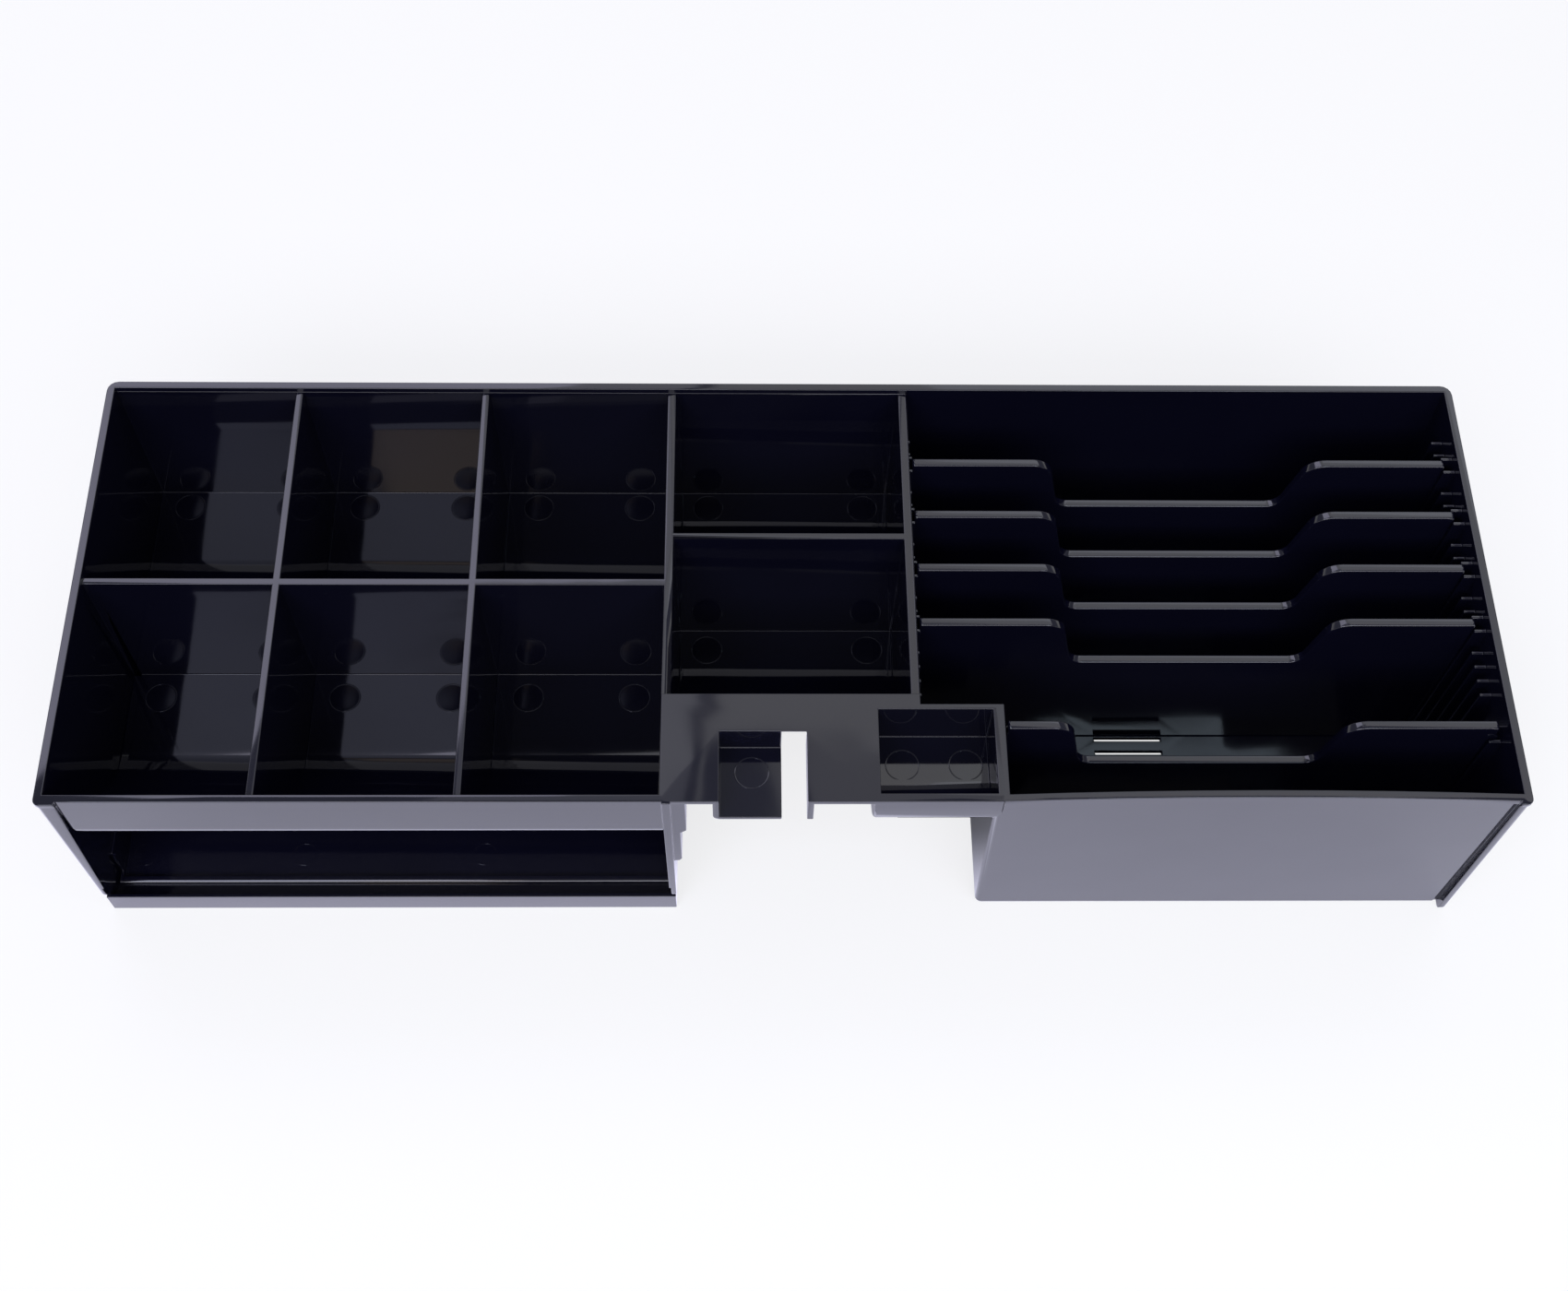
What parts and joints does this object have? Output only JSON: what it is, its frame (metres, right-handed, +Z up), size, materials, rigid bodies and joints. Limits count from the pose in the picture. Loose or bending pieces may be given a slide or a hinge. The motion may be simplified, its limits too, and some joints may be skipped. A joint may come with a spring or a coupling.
{
  "type": "cash drawer insert",
  "caption": "Black moulded insert for a flip-top cash drawer, with scooped coin cups, a lock recess, and a deep note bay with lift-out dividers.",
  "frame": {"origin": "centre of the footprint, on the surface the insert stands on", "axes": "+X to the right of someone facing the drawer, +Y towards the back of the drawer, +Z up"},
  "size_m": [0.43, 0.148, 0.081],
  "materials": {
    "tray_plastic": "gloss, moulded black",
    "base_plastic": "gloss, moulded black",
    "divider_plastic": "gloss, moulded black"
  },
  "bodies": {
    "insert": {"tray": "tray_plastic", "storage_base": "base_plastic"},
    "divider_1": {"note_divider_1": "divider_plastic"},
    "divider_2": {"note_divider_2": "divider_plastic"},
    "divider_3": {"note_divider_3": "divider_plastic"},
    "divider_4": {"note_divider_4": "divider_plastic"},
    "divider_5": {"note_divider_5": "divider_plastic"}
  },
  "joints": [
    {"name": "divider_1_lift", "type": "slide", "parent": "insert", "child": "divider_1", "axis": [0, 0, 1], "range_m": [0, 0.08]},
    {"name": "divider_2_lift", "type": "slide", "parent": "insert", "child": "divider_2", "axis": [0, 0, 1], "range_m": [0, 0.08]},
    {"name": "divider_3_lift", "type": "slide", "parent": "insert", "child": "divider_3", "axis": [0, 0, 1], "range_m": [0, 0.08]},
    {"name": "divider_4_lift", "type": "slide", "parent": "insert", "child": "divider_4", "axis": [0, 0, 1], "range_m": [0, 0.08]},
    {"name": "divider_5_lift", "type": "slide", "parent": "insert", "child": "divider_5", "axis": [0, 0, 1], "range_m": [0, 0.08]}
  ]
}
